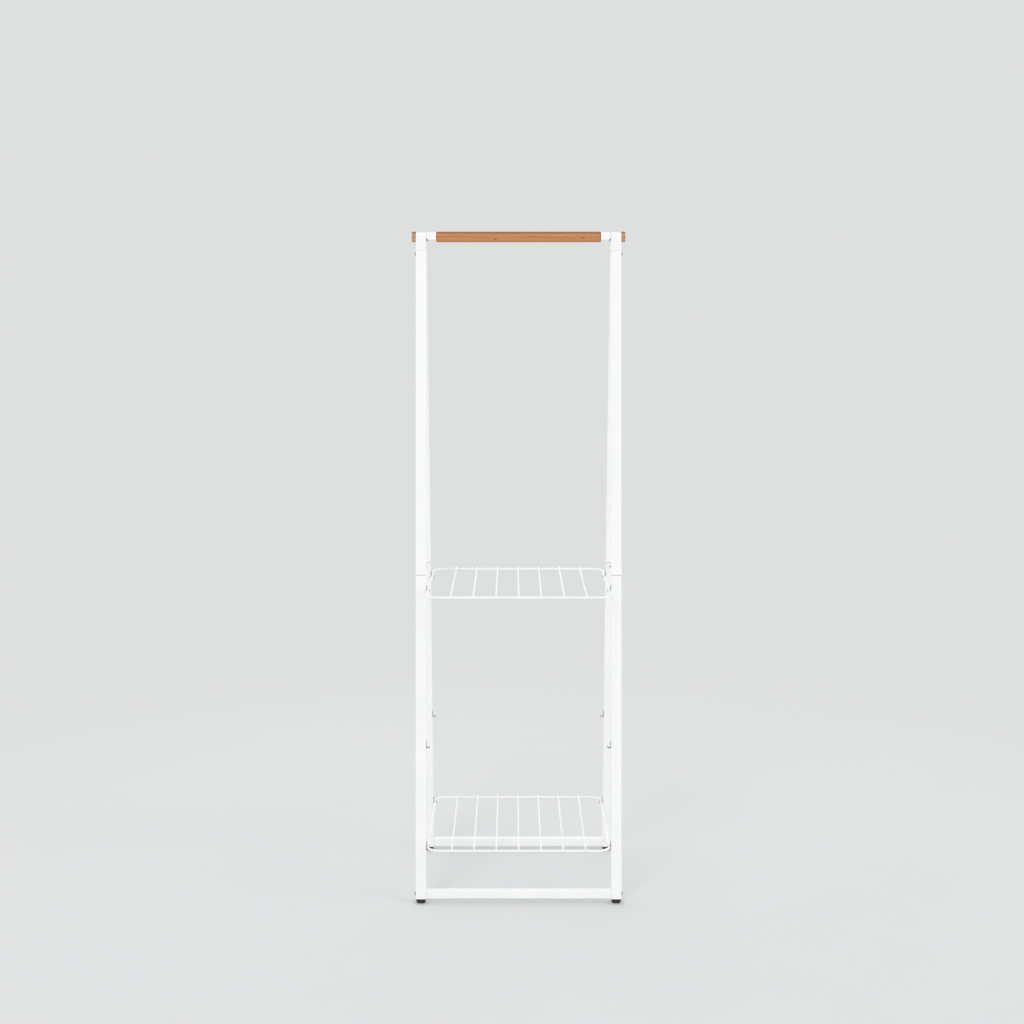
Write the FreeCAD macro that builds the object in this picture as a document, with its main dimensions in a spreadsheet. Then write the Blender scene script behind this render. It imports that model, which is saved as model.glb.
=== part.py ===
"""Folding clothes rack: two leaning frames hinged on a bamboo bar, with two lift-out wire shelves.

Millimetres and degrees. X runs along the bar, -Y is the front, +Z is up. The origin lies on the
floor under the middle of the bar. A frame is drawn hanging straight down from the bar's axis, with
its outward face towards -Y. It is then leaned, and the rear frame is also turned half round.
"""
import FreeCAD, Part
import Sketcher
import math
import os
import re

SIZES = (
    ("bar_height", 1885, "height of the bar's axis above the floor"),
    ("lean_angle", 6.9, "lean of each frame from upright"),
    ("leg_gap", 526, "clear width between the left and right legs"),
    ("tube_width", 30, "leg tube, across the rack"),
    ("tube_depth", 20, "leg tube and cross-bar, front to back"),
    ("tube_wall", 1.2, "wall of the leg tubes and cross-bars"),
    ("tube_corner", 2, "outer corner radius of the tubes"),
    ("bore_corner", 0.8, "inner corner radius of the tubes, and that of what fits in them"),
    ("frame_gap", 1, "gap between the legs of the two frames when folded flat"),
    ("seam_gap", 0.6, "joint line between a top fitting and its leg tube"),
    ("joint_gap", 1.5, "joint line between the upper and lower tubes"),
    ("slip_gap", 0.2, "play of spigots, sleeves and plugs inside a tube"),
    ("head_drop", 42, "bar's axis to the top of the leg tubes"),
    ("spigot_length", 28, "depth of a top fitting's spigot in its tube"),
    ("fitting_edge", 0.6, "rounding of a front fitting's edges beside the knuckle"),
    ("eye_diameter", 24, "height of the top fittings' eyes and knuckles at the bar"),
    ("knuckle_length", 27.5, "length of a rear fitting's knuckle along the bar"),
    ("side_gap", 0.5, "gap at each end of a knuckle"),
    ("running_gap", 0.05, "radial play of a knuckle on the core"),
    ("web_gap", 2.5, "radial gap between a rear fitting's web and a front eye"),
    ("web_angle", 12, "height of the web's end above level, at the bar's axis"),
    ("arm_rise", 1.5, "underside of the web's arm above that of the knuckle"),
    ("stop_play", 1.5, "angle between the web's end and the open stop"),
    ("stop_height", 6.5, "height of the open stop above the eye"),
    ("stop_land", 4, "angle of the stop's tip"),
    ("stop_width", 20, "length of the stop along the bar"),
    ("notch_size", 6.5, "relief at the lower outer corner of a knuckle"),
    ("core_diameter", 16, "steel core tube of the bar"),
    ("core_wall", 2, "wall of the core tube"),
    ("press_gap", 0.05, "radial play of the fixed pieces on or in the core"),
    ("bamboo_diameter", 30, "bamboo bar and end caps"),
    ("bamboo_edge", 1, "eased edge of the bamboo pieces"),
    ("cap_length", 11.5, "bamboo end cap outside the top fitting"),
    ("cap_spigot", 22, "end cap's spigot inside the core"),
    ("joint_rise", 933, "seam between upper and lower tubes, up the leg from the floor"),
    ("sleeve_length", 120, "inner sleeve across that seam"),
    ("sleeve_wall", 2, "wall of the inner sleeve"),
    ("sleeve_corner", 0.8, "inner corner radius of the inner sleeve"),
    ("foot_height", 12, "rubber foot below the leg tube, on its centre line"),
    ("foot_rim", 2, "rim of the foot, which carries the tube's outline on"),
    ("foot_step", 0.5, "step in from the rim to the foot's pad"),
    ("foot_slack", 1.5, "gap between the foot's plug and the lower bolt above it"),
    ("foot_flat", 1, "straight stretch left between the corners of the pad's short sides"),
    ("foot_taper", 18, "taper of the pad's sides"),
    ("foot_round", 4, "rounding of the pad's lower edge"),
    ("cross_height", 25, "cross-bar, top to bottom"),
    ("cross_lift", 2, "end of the leg tube to the underside of the cross-bar"),
    ("plug_length", 30, "threaded plug in the end of a cross-bar"),
    ("bolt_diameter", 6, "shank of the button-head bolts"),
    ("bolt_head", 12, "head of the button-head bolts"),
    ("bolt_rise", 3.3, "height of a bolt's head"),
    ("bolt_rim", 0.6, "straight rim of a bolt's head"),
    ("bolt_socket", 4, "hexagon socket of a bolt, across flats"),
    ("bolt_recess", 2, "depth of a bolt's socket"),
    ("bolt_play", 0.15, "radial play of a bolt or screw in its hole"),
    ("bolt_inset", 8.5, "top of the leg tubes to the bolts of the top fittings"),
    ("bolt_short", 1.5, "end of a top bolt short of the leg's centre line"),
    ("bolt_bite", 22, "depth of a lower bolt in its plug"),
    ("screw_diameter", 4, "shank of the joint screws"),
    ("screw_head", 8, "head of the joint screws"),
    ("screw_rise", 2.4, "height of a joint screw's head"),
    ("screw_drop", 10.5, "seam to the joint screw below it"),
    ("screw_socket", 2.5, "hexagon socket of a joint screw, across flats"),
    ("screw_recess", 1.4, "depth of a joint screw's socket"),
    ("socket_land", 0.4, "flat round the corners of a socket"),
    ("strip_thickness", 1.3, "bent strip of the hooks"),
    ("strip_width", 12, "width of the strip, front to back"),
    ("strip_bend", 1, "inner radius of the strip's bends"),
    ("strip_corner", 3, "rounding of the plate's top corners, and twice that of the lip's"),
    ("plate_height", 19, "hook's plate on the leg, from the underside"),
    ("lip_height", 5, "hook's lip, from the underside"),
    ("rest_gap", 0.3, "gap between a rail and the hook's floor"),
    ("rail_play", 0.4, "gap between a rail and each side of its hook"),
    ("rail_diameter", 6.5, "perimeter rail of a shelf"),
    ("rail_corner", 36, "centre-line radius of the rail's corners"),
    ("rail_margin", 1.5, "straight rail left beyond the lowest hooks"),
    ("wire_diameter", 4.5, "wires across a shelf"),
    ("wire_count", 7, "number of wires across a shelf"),
    ("wire_pitch", 63, "spacing of the wires, on centres"),
    ("weld_gap", 0.05, "wires' height above the rail that they lie on"),
    ("wire_setback", 1, "end of a wire to the outside of the rail"),
    ("lower_level", 160.5, "height of the lower shelf's rail"),
    ("middle_level", 443, "height of a rail in the empty hooks"),
    ("upper_level", 885, "height of the upper shelf's rail"),
)

# Sizes that follow from the ones above, as formulas.
LEG_OFFSET = "(tube_depth + frame_gap) / 2"
LEG_CENTRE = "(leg_gap + tube_width) / 2"
FACE_OUT = "(tube_depth + frame_gap / 2)"
FACE_IN = "(frame_gap / 2)"
LEG_REACH = f"((bar_height + {LEG_OFFSET} * sin(lean_angle)) / cos(lean_angle))"
TUBE_END = f"({LEG_REACH} - foot_height)"
CROSS_DROP = f"({TUBE_END} - cross_lift - cross_height / 2)"
FOOT_CORNER = "((tube_depth - foot_flat) / 2 - foot_step)"
FOOT_PLUG = "(cross_lift + cross_height / 2 - bolt_diameter / 2 - foot_slack)"
JOINT_DROP = f"({LEG_REACH} - joint_rise)"
SCREW_LEVEL = f"({JOINT_DROP} + screw_drop)"
BOLT_LEVEL = "(head_drop + bolt_inset)"
BORE_WIDTH = "(tube_width - 2 * tube_wall)"
BORE_DEPTH = "(tube_depth - 2 * tube_wall)"
FILL_WIDTH = f"({BORE_WIDTH} - 2 * slip_gap)"
FILL_DEPTH = f"({BORE_DEPTH} - 2 * slip_gap)"
LEG_SECTION = ("tube_width", "tube_depth", "tube_corner")
FILL_SECTION = (FILL_WIDTH, FILL_DEPTH, "bore_corner")
EYE_RADIUS = "(eye_diameter / 2)"
WEB_RADIUS = f"({EYE_RADIUS} + web_gap)"
ARM_DROP = f"({EYE_RADIUS} - arm_rise)"
KNUCKLE_START = "(tube_width / 2 + side_gap)"
BAMBOO_LENGTH = "(leg_gap - 2 * (knuckle_length + 2 * side_gap))"
HOOK_WIDTH = "(2 * strip_thickness + rail_diameter + 2 * rail_play)"
RAIL_HALF = "(leg_gap / 2 - strip_thickness - rail_play - rail_diameter / 2)"
WIRE_LEVEL = "(rail_diameter / 2 + weld_gap + wire_diameter / 2)"

# The rear frame is the front one turned half round; a side's sign is its direction along X.
FRAMES = (("front", -1), ("rear", 1))
SIDES = (("left", -1), ("right", 1))
LEVELS = ("lower", "middle", "upper")
SHELVES = ("lower", "upper")

# Two places nearer than this are the same when edges are picked.
SAME = 1e-4

doc = FreeCAD.newDocument("ClothesRack")
sheet = doc.addObject("Spreadsheet::Sheet", "Sizes")
for row, (alias, value, meaning) in enumerate(SIZES, start=1):
    sheet.set(f"A{row}", meaning)
    sheet.set(f"B{row}", str(value))
    sheet.setAlias(f"B{row}", alias)
doc.recompute()

nodes = []


def cell(formula):
    """Writes a formula of size names as an expression on the sheet."""
    return re.sub(r"[a-z]+(?:_[a-z]+)+", lambda name: "Sizes." + name.group(), formula)


def number(formula):
    """The present value of a formula of size names."""
    return float(sheet.evalExpression(cell(formula)))


def keep(item, name):
    """Hands a finished piece in as a node of that name."""
    item.Label = name
    nodes.append(item)
    return item


def place(item, x="0", y="0", z="0", yaw="0", roll="0"):
    """Puts an object at a point, leaned about X and then turned about Z."""
    point = f"vector({x}; {y}; {z})"
    item.setExpression("Placement", cell(f"placement({point}; rotation({yaw}; 0; {roll}))"))
    return item


def hang(item, frame, side="0"):
    """Hangs an object of a frame from the bar's axis, over one leg or over the middle."""
    yaw = "0" if frame < 0 else "180"
    return place(item, f"{side} * {LEG_CENTRE}", "0", "bar_height", yaw, "-lean_angle")


def new_sketch(body, role, x="0", y="0", lift="0", turn="0", tilt="0"):
    """A sketch on one of the body's own planes, with its origin moved there and off the plane, turned
    in the plane, and tilted about the sketch's own first axis."""
    sketch = body.newObject("Sketcher::SketchObject", "Sketch")
    plane = next(item for item in body.Origin.OriginFeatures if item.Role == role)
    sketch.AttachmentSupport = (plane, [""])
    sketch.MapMode = "FlatFace"
    point = f"vector({x}; {y}; {lift})"
    sketch.setExpression("AttachmentOffset", cell(f"placement({point}; rotation({turn}; 0; {tilt}))"))
    return sketch


def measure(sketch, formula, kind, *where):
    """Adds a dimension to a sketch and binds it to a formula."""
    index = sketch.addConstraint(Sketcher.Constraint(kind, *where, number(formula)))
    sketch.renameConstraint(index, f"size_{index}")
    sketch.setExpression(f"Constraints.size_{index}", cell(formula))


def circle(sketch, diameter):
    """A circle about the sketch's origin."""
    radius = number(diameter) / 2
    up = FreeCAD.Vector(0, 0, 1)
    index = sketch.addGeometry(Part.Circle(FreeCAD.Vector(), up, radius))
    sketch.addConstraint(Sketcher.Constraint("Coincident", index, 3, -1, 1))
    measure(sketch, diameter, "Diameter", index)


def rounded_rectangle(sketch, width, height, radius):
    """A rectangle about the sketch's origin, with round corners: lines and arcs by turns."""
    corner = number(radius)
    half = FreeCAD.Vector(number(width) / 2 - corner, number(height) / 2 - corner)
    up = FreeCAD.Vector(0, 0, 1)
    centres = [FreeCAD.Vector(sx * half.x, sy * half.y) for sx, sy in ((1, -1), (1, 1), (-1, 1), (-1, -1))]
    turns = [math.radians(angle) for angle in (-90, 0, 90, 180)]
    rims = [FreeCAD.Vector(corner * math.cos(turn), corner * math.sin(turn)) for turn in turns]
    first = sketch.GeometryCount
    for corner_index in range(4):
        start = centres[corner_index - 1] + rims[corner_index]
        end = centres[corner_index] + rims[corner_index]
        sketch.addGeometry(Part.LineSegment(start, end))
        turn = turns[corner_index]
        rim = Part.Circle(centres[corner_index], up, corner)
        sketch.addGeometry(Part.ArcOfCircle(rim, turn, turn + math.pi / 2))
    sides = [first + 2 * index for index in range(4)]
    arcs = [side + 1 for side in sides]
    for index in range(4):
        following = sides[(index + 1) % 4]
        sketch.addConstraint(Sketcher.Constraint("Tangent", sides[index], 2, arcs[index], 1))
        sketch.addConstraint(Sketcher.Constraint("Tangent", arcs[index], 2, following, 1))
        kind = "Vertical" if index % 2 else "Horizontal"
        sketch.addConstraint(Sketcher.Constraint(kind, sides[index]))
    for arc in arcs[1:]:
        sketch.addConstraint(Sketcher.Constraint("Equal", arcs[0], arc))
    sketch.addConstraint(Sketcher.Constraint("Symmetric", arcs[0], 3, arcs[2], 3, -1, 1))
    measure(sketch, radius, "Radius", arcs[0])
    measure(sketch, width, "DistanceX", sides[3], 1, sides[1], 1)
    measure(sketch, height, "DistanceY", sides[0], 1, sides[2], 1)


def bulge_centre(start, end, radius):
    """The centre of the shorter arc between two points, which turns left for a positive radius."""
    chord = end - start
    rise = math.sqrt(max(radius * radius - chord.Length ** 2 / 4, 0))
    left = FreeCAD.Vector(-chord.y, chord.x).normalize()
    return (start + end) * 0.5 + left * math.copysign(rise, radius)


def outline(sketch, corners):
    """A closed outline. A corner is two formulas, and a third where an arc of that radius, turning
    right if it starts with a minus sign, leads to the next corner; otherwise a line does."""
    points = [FreeCAD.Vector(number(corner[0]), number(corner[1])) for corner in corners]
    up = FreeCAD.Vector(0, 0, 1)
    ends = []
    for index, corner in enumerate(corners):
        start = points[index]
        end = points[(index + 1) % len(points)]
        if len(corner) == 2:
            ends.append((sketch.addGeometry(Part.LineSegment(start, end)), 1, 2))
            continue
        radius = number(corner[2])
        centre = bulge_centre(start, end, radius)
        first, last = (start, end) if radius > 0 else (end, start)
        angles = [math.atan2(point.y - centre.y, point.x - centre.x) for point in (first, last)]
        arc = Part.ArcOfCircle(Part.Circle(centre, up, abs(radius)), *angles)
        ends.append((sketch.addGeometry(arc), *((1, 2) if radius > 0 else (2, 1))))
    for index, corner in enumerate(corners):
        side, begin, _ = ends[index]
        before, _, finish = ends[index - 1]
        sketch.addConstraint(Sketcher.Constraint("Coincident", before, finish, side, begin))
        measure(sketch, corner[0], "DistanceX", -1, 1, side, begin)
        measure(sketch, corner[1], "DistanceY", -1, 1, side, begin)
        if len(corner) == 3:
            measure(sketch, corner[2].lstrip("-"), "Radius", side)


def new_body(name):
    return doc.addObject("PartDesign::Body", name)


def pad(body, sketch, length, sides="One side", flipped=False):
    """Adds material along the sketch's normal, or against it when flipped."""
    feature = body.newObject("PartDesign::Pad", "Pad")
    feature.Profile = sketch
    feature.SideType = sides
    feature.Reversed = flipped
    feature.setExpression("Length", cell(length))
    return feature


def pocket(body, sketch, length=None, sides="One side", flipped=False):
    """Cuts against the sketch's normal, or along it when flipped: to a depth or right through."""
    feature = body.newObject("PartDesign::Pocket", "Pocket")
    feature.Profile = sketch
    feature.SideType = sides
    feature.Reversed = flipped
    if length is None:
        feature.Type = "ThroughAll"
    else:
        feature.setExpression("Length", cell(length))
    return feature


def round_edges(body, radius, chosen):
    """Rounds those edges of the body so far that the test picks."""
    doc.recompute()
    base = body.Tip
    edges = [f"Edge{index}" for index, edge in enumerate(base.Shape.Edges, start=1) if chosen(edge)]
    feature = body.newObject("PartDesign::Fillet", "Fillet")
    feature.Base = (base, edges)
    feature.setExpression("Radius", cell(radius))


def is_upright(edge):
    return edge.BoundBox.XLength < SAME and edge.BoundBox.YLength < SAME


def lies_across(edge):
    return edge.BoundBox.YLength < SAME and edge.BoundBox.ZLength < SAME


def bounds_side(edge, x):
    """Whether an edge bounds the side face at that place along X, and isn't level. The straight edges
    that face the other frame don't count: they end in an inside corner, which can't be rounded."""
    box = edge.BoundBox
    faces_frame = is_upright(edge) and abs(box.YMin + number(FACE_IN)) < SAME
    return box.XLength < SAME < box.ZLength and abs(box.XMin - x) < SAME and not faces_frame


def side_hole(body, drop, diameter, outer=None):
    """A hole across the leg at a drop from the bar's axis: one wall's, or both walls' without a side."""
    sketch = new_sketch(body, "YZ_Plane", f"-{LEG_OFFSET}", f"-{drop}")
    circle(sketch, f"{diameter} + 2 * bolt_play")
    if outer is None:
        pocket(body, sketch, sides="Symmetric")
    else:
        pocket(body, sketch, flipped=outer > 0)


def inward_hole(body, drop, diameter):
    """A hole in the wall that faces the other frame, at a drop from the bar's axis."""
    sketch = new_sketch(body, "XZ_Plane", "0", f"-{drop}", LEG_OFFSET)
    circle(sketch, f"{diameter} + 2 * bolt_play")
    pocket(body, sketch)


def leg_box(body, width, depth, corner, top, bottom, wall=None, bore=None):
    """A rounded bar along the leg's centre line between two drops. With a wall, and a corner radius
    for its bore, it is a tube."""
    sketch = new_sketch(body, "XY_Plane", "0", f"-{LEG_OFFSET}", f"-({bottom})")
    rounded_rectangle(sketch, width, depth, corner)
    if wall:
        rounded_rectangle(sketch, f"{width} - 2 * {wall}", f"{depth} - 2 * {wall}", bore)
    pad(body, sketch, f"({bottom}) - ({top})")


# Leg tubes: rectangular steel tube, cut at half height, with one hole for each bolt or screw.
def upper_tube(name, outer):
    body = new_body(name)
    bottom = f"{JOINT_DROP} - joint_gap"
    leg_box(body, *LEG_SECTION, "head_drop", bottom, "tube_wall", "bore_corner")
    side_hole(body, BOLT_LEVEL, "bolt_diameter", outer)
    return body


def lower_tube(name):
    body = new_body(name)
    leg_box(body, *LEG_SECTION, JOINT_DROP, TUBE_END, "tube_wall", "bore_corner")
    side_hole(body, CROSS_DROP, "bolt_diameter")
    inward_hole(body, SCREW_LEVEL, "screw_diameter")
    return body


# Inner sleeve: a shorter tube that slides into both leg tubes and is held by the joint screw.
def joint_sleeve(name):
    body = new_body(name)
    top = f"{JOINT_DROP} - sleeve_length / 2"
    bottom = f"{JOINT_DROP} + sleeve_length / 2"
    leg_box(body, *FILL_SECTION, top, bottom, "sleeve_wall", "sleeve_corner")
    inward_hole(body, SCREW_LEVEL, "screw_diameter")
    return body


def add_spigot(body, outer):
    """The part of a top fitting that goes down into its leg tube, with the bolt's hole."""
    bottom = "head_drop + spigot_length"
    leg_box(body, *FILL_SECTION, "head_drop - seam_gap", bottom)
    side_hole(body, BOLT_LEVEL, "bolt_diameter", outer)


# Front top fitting: a moulded cap on the leg whose eye holds the core, with a stop at the back
# of the eye that the rear fitting's web comes up against when the rack is fully open. Its edges
# beside the knuckle are nearly sharp, so that the two read as one piece from the front.
def front_head(name, outer):
    body = new_body(name)
    stop = "(web_angle + 2 * lean_angle + stop_play)"
    tip = f"({stop} + stop_land)"
    reach = f"({EYE_RADIUS} + stop_height)"
    ramp = f"({tip} + acos({EYE_RADIUS} / {reach}) / 1deg)"
    sketch = new_sketch(body, "YZ_Plane")
    outline(sketch, (
        (f"-{FACE_OUT}", "seam_gap - head_drop"),
        (f"-{FACE_OUT}", "0", f"-{EYE_RADIUS}"),
        (f"{EYE_RADIUS} - {FACE_OUT}", EYE_RADIUS),
        ("0", EYE_RADIUS, f"-{EYE_RADIUS}"),
        (EYE_RADIUS, "0", f"-{EYE_RADIUS}"),
        (f"-{FACE_IN}", f"-sqrt({EYE_RADIUS} ^ 2 - {FACE_IN} ^ 2)"),
        (f"-{FACE_IN}", "seam_gap - head_drop"),
    ))
    pad(body, sketch, "tube_width", sides="Symmetric")
    for radius, side in (("tube_corner", outer), ("fitting_edge", -outer)):
        face = side * number("tube_width / 2")
        round_edges(body, radius, lambda edge: bounds_side(edge, face))
    nose = new_sketch(body, "YZ_Plane")
    outline(nose, (
        (f"{EYE_RADIUS} * cos({ramp})", f"{EYE_RADIUS} * sin({ramp})"),
        (f"{reach} * cos({tip})", f"{reach} * sin({tip})"),
        (f"{reach} * cos({stop})", f"{reach} * sin({stop})"),
        (f"{EYE_RADIUS} * cos({stop})", f"{EYE_RADIUS} * sin({stop})"),
    ))
    pad(body, nose, "stop_width", sides="Symmetric")
    bore = new_sketch(body, "YZ_Plane")
    circle(bore, "core_diameter + 2 * press_gap")
    pocket(body, bore, sides="Symmetric")
    add_spigot(body, outer)
    return body


# Rear top fitting: a cap on the leg whose web curves up behind the front eye, and reaches along
# the bar to a knuckle that turns on the core beside that eye. The knuckle's front is drawn turned
# by the angle between the frames, so that it lies flush with the front fitting on the open rack.
def rear_head(name, outer):
    body = new_body(name)
    inner = -outer
    spread = "2 * lean_angle"
    web_end = (f"-{FACE_OUT}", f"{FACE_OUT} * tan(web_angle)")
    web_edge = (f"-{WEB_RADIUS} * cos(web_angle)", f"{WEB_RADIUS} * sin(web_angle)", WEB_RADIUS)
    block = new_sketch(body, "YZ_Plane")
    outline(block, (
        (f"-{FACE_OUT}", "seam_gap - head_drop"),
        web_end,
        web_edge,
        (f"-{FACE_IN}", f"-sqrt({WEB_RADIUS} ^ 2 - {FACE_IN} ^ 2)"),
        (f"-{FACE_IN}", "seam_gap - head_drop"),
    ))
    pad(body, block, "tube_width", sides="Symmetric")
    round_edges(body, "tube_corner", is_upright)
    web = new_sketch(body, "YZ_Plane")
    outline(web, (
        (f"-{FACE_OUT}", f"-{ARM_DROP}"),
        web_end,
        web_edge,
        (f"-sqrt({WEB_RADIUS} ^ 2 - {ARM_DROP} ^ 2)", f"-{ARM_DROP}"),
    ))
    pad(body, web, f"{KNUCKLE_START} + knuckle_length", flipped=inner < 0)
    knuckle = new_sketch(body, "YZ_Plane", lift=f"{inner} * {KNUCKLE_START}", turn=spread)
    outline(knuckle, (
        ("0", f"-{EYE_RADIUS}"),
        (f"{FACE_OUT} - tube_corner", f"-{EYE_RADIUS}", "tube_corner"),
        (FACE_OUT, f"tube_corner - {EYE_RADIUS}"),
        (FACE_OUT, "0", EYE_RADIUS),
        (f"{FACE_OUT} - {EYE_RADIUS}", EYE_RADIUS),
        ("0", EYE_RADIUS, EYE_RADIUS),
        (f"-{EYE_RADIUS}", "0", EYE_RADIUS),
    ))
    pad(body, knuckle, "knuckle_length", flipped=inner < 0)
    arm = new_sketch(body, "YZ_Plane", lift=f"{inner} * {KNUCKLE_START}")
    outline(arm, (
        (f"-{FACE_OUT}", f"-{ARM_DROP}"),
        web_end,
        ("0", EYE_RADIUS),
        ("0", f"-{EYE_RADIUS}"),
    ))
    pad(body, arm, "knuckle_length", flipped=inner < 0)
    far = inner * number(f"{KNUCKLE_START} + knuckle_length")
    round_edges(body, "tube_corner", lambda edge: is_upright(edge) and abs(edge.BoundBox.XMin - far) < SAME)
    bore = new_sketch(body, "YZ_Plane")
    circle(bore, "core_diameter + 2 * running_gap")
    pocket(body, bore, flipped=inner > 0)
    notch = new_sketch(body, "XZ_Plane", tilt=spread)
    outline(notch, (
        (f"{inner} * {KNUCKLE_START}", f"-{EYE_RADIUS} - notch_size"),
        (f"{inner} * ({KNUCKLE_START} + 2 * notch_size)", f"-{EYE_RADIUS} - notch_size"),
        (f"{inner} * {KNUCKLE_START}", f"-{EYE_RADIUS} + notch_size"),
    ))
    pocket(body, notch)
    add_spigot(body, outer)
    return body


# Rubber foot: a plug in the leg tube, a rim below it, and a tapered pad cut level and rounded.
def foot(name):
    body = new_body(name)
    rim_end = f"({TUBE_END} + foot_rim)"
    leg_box(body, *FILL_SECTION, f"{TUBE_END} - {FOOT_PLUG}", TUBE_END)
    leg_box(body, *LEG_SECTION, TUBE_END, rim_end)
    flare = new_sketch(body, "XY_Plane", "0", f"-{LEG_OFFSET}", f"-{rim_end}")
    rounded_rectangle(flare, "tube_width - 2 * foot_step", "tube_depth - 2 * foot_step", FOOT_CORNER)
    flare_height = "foot_height - foot_rim + tube_depth * tan(lean_angle)"
    pad(body, flare, flare_height, flipped=True).setExpression("TaperAngle", cell("-foot_taper"))
    level = new_sketch(body, "YZ_Plane")
    far = f"(2 * {FACE_OUT})"
    floor_here = "-bar_height / cos(lean_angle)"
    floor_there = f"-(bar_height + {far} * sin(lean_angle)) / cos(lean_angle)"
    outline(level, (
        (f"-{far}", floor_there),
        ("0", floor_here),
        ("0", f"{floor_here} - foot_height - {far}"),
        (f"-{far}", f"{floor_here} - foot_height - {far}"),
    ))
    cut = pocket(body, level, sides="Symmetric")
    doc.recompute()
    sole = min(cut.Shape.Faces, key=lambda face: face.CenterOfMass.z)
    round_edges(body, "foot_round", lambda edge: any(edge.isSame(rim) for rim in sole.Edges))
    return body


# Cross-bar: the leg's tube section laid across, butted between the lower tubes of a frame.
def cross_tube(name):
    body = new_body(name)
    sketch = new_sketch(body, "YZ_Plane", f"-{LEG_OFFSET}", f"-{CROSS_DROP}")
    rounded_rectangle(sketch, "tube_depth", "cross_height", "tube_corner")
    rounded_rectangle(sketch, BORE_DEPTH, "cross_height - 2 * tube_wall", "bore_corner")
    pad(body, sketch, "leg_gap", sides="Symmetric")
    return body


# Threaded plug: fills the end of a cross-bar and takes the lower bolt.
def cross_plug(name, inner):
    body = new_body(name)
    end = f"{-inner} * leg_gap / 2"
    sketch = new_sketch(body, "YZ_Plane", f"-{LEG_OFFSET}", f"-{CROSS_DROP}", end)
    rounded_rectangle(sketch, FILL_DEPTH, "cross_height - 2 * (tube_wall + slip_gap)", "bore_corner")
    pad(body, sketch, "plug_length", flipped=inner < 0)
    hole = new_sketch(body, "YZ_Plane", f"-{LEG_OFFSET}", f"-{CROSS_DROP}")
    circle(hole, "bolt_diameter + 2 * bolt_play")
    pocket(body, hole, sides="Symmetric")
    return body


# Bolts and screws: turned about X, head outwards from the origin, with a hexagon socket.
def button_bolt(name, diameter, head, rise, socket, recess, grip):
    body = new_body(name)
    reach = f"({socket} / 2 / cos(30))"
    sketch = new_sketch(body, "XY_Plane")
    outline(sketch, (
        (f"-({grip})", "0"),
        (f"-({grip})", f"{diameter} / 2"),
        ("0", f"{diameter} / 2"),
        ("0", f"{head} / 2"),
        ("bolt_rim", f"{head} / 2", f"-{head} / 2"),
        (rise, f"{reach} + socket_land"),
        (rise, "0"),
    ))
    turned = body.newObject("PartDesign::Revolution", "Revolution")
    turned.Profile = sketch
    turned.ReferenceAxis = (sketch, ["H_Axis"])
    hexagon = new_sketch(body, "YZ_Plane", lift=rise)
    outline(hexagon, [(f"{reach} * cos({angle})", f"{reach} * sin({angle})") for angle in range(0, 360, 60)])
    pocket(body, hexagon, recess)
    return body


def group(name, items):
    """Like pieces that share one node."""
    compound = doc.addObject("Part::Compound", name)
    compound.Links = items
    return keep(compound, name)


def leg_fastener(item, frame, side, drop):
    """Puts a bolt on the outer face of a leg, at a drop from the bar's axis."""
    ahead = f"(-{LEG_OFFSET})"
    y = f"{-frame} * ({ahead} * cos(lean_angle) - {drop} * sin(lean_angle))"
    z = f"bar_height - {ahead} * sin(lean_angle) - {drop} * cos(lean_angle)"
    yaw = "0" if side > 0 else "180"
    roll = "-lean_angle" if side * frame < 0 else "lean_angle"
    return place(item, f"{side} * (leg_gap / 2 + tube_width)", y, z, yaw, roll)


def joint_screw(item, frame, side):
    """Puts a screw on the face of a leg that looks at the other frame, below the seam."""
    ahead = f"(-{FACE_IN})"
    y = f"{-frame} * ({ahead} * cos(lean_angle) - {SCREW_LEVEL} * sin(lean_angle))"
    z = f"bar_height - {ahead} * sin(lean_angle) - {SCREW_LEVEL} * cos(lean_angle)"
    point = f"vector({side} * {LEG_CENTRE}; {y}; {z})"
    turn = f"rotation({-frame * 90}; lean_angle; 0)"
    item.setExpression("Placement", cell(f"placement({point}; {turn})"))
    return item


# Hook: a bent steel strip on the inner side of a leg. Its slot runs front to back and is level.
def hook(name):
    body = new_body(name)
    sketch = new_sketch(body, "XZ_Plane")
    bend = "(strip_bend + strip_thickness)"
    far = f"({HOOK_WIDTH} - strip_thickness)"
    outline(sketch, (
        ("0", "plate_height"),
        ("0", bend, bend),
        (bend, "0"),
        (f"{HOOK_WIDTH} - {bend}", "0", bend),
        (HOOK_WIDTH, bend),
        (HOOK_WIDTH, "lip_height"),
        (far, "lip_height"),
        (far, bend, "-strip_bend"),
        (f"{HOOK_WIDTH} - {bend}", "strip_thickness"),
        (bend, "strip_thickness", "-strip_bend"),
        ("strip_thickness", bend),
        ("strip_thickness", "plate_height"),
    ))
    pad(body, sketch, "strip_width", sides="Symmetric")
    for top, radius in (("plate_height", "strip_corner"), ("lip_height", "strip_corner / 2")):
        height = number(top)
        round_edges(body, radius, lambda edge: lies_across(edge) and abs(edge.BoundBox.ZMin - height) < SAME)
    return body


def hook_reach(level):
    """Distance from the middle of the rack to the leg's centre line at a height."""
    return f"((bar_height - {level}) * tan(lean_angle) + {LEG_OFFSET} / cos(lean_angle))"


def hook_at(item, frame, side, level):
    floor = f"{level} - rail_diameter / 2 - rest_gap - strip_thickness"
    yaw = "0" if side < 0 else "180"
    return place(item, f"{side} * leg_gap / 2", f"{frame} * {hook_reach(level)}", floor, yaw)


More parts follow.
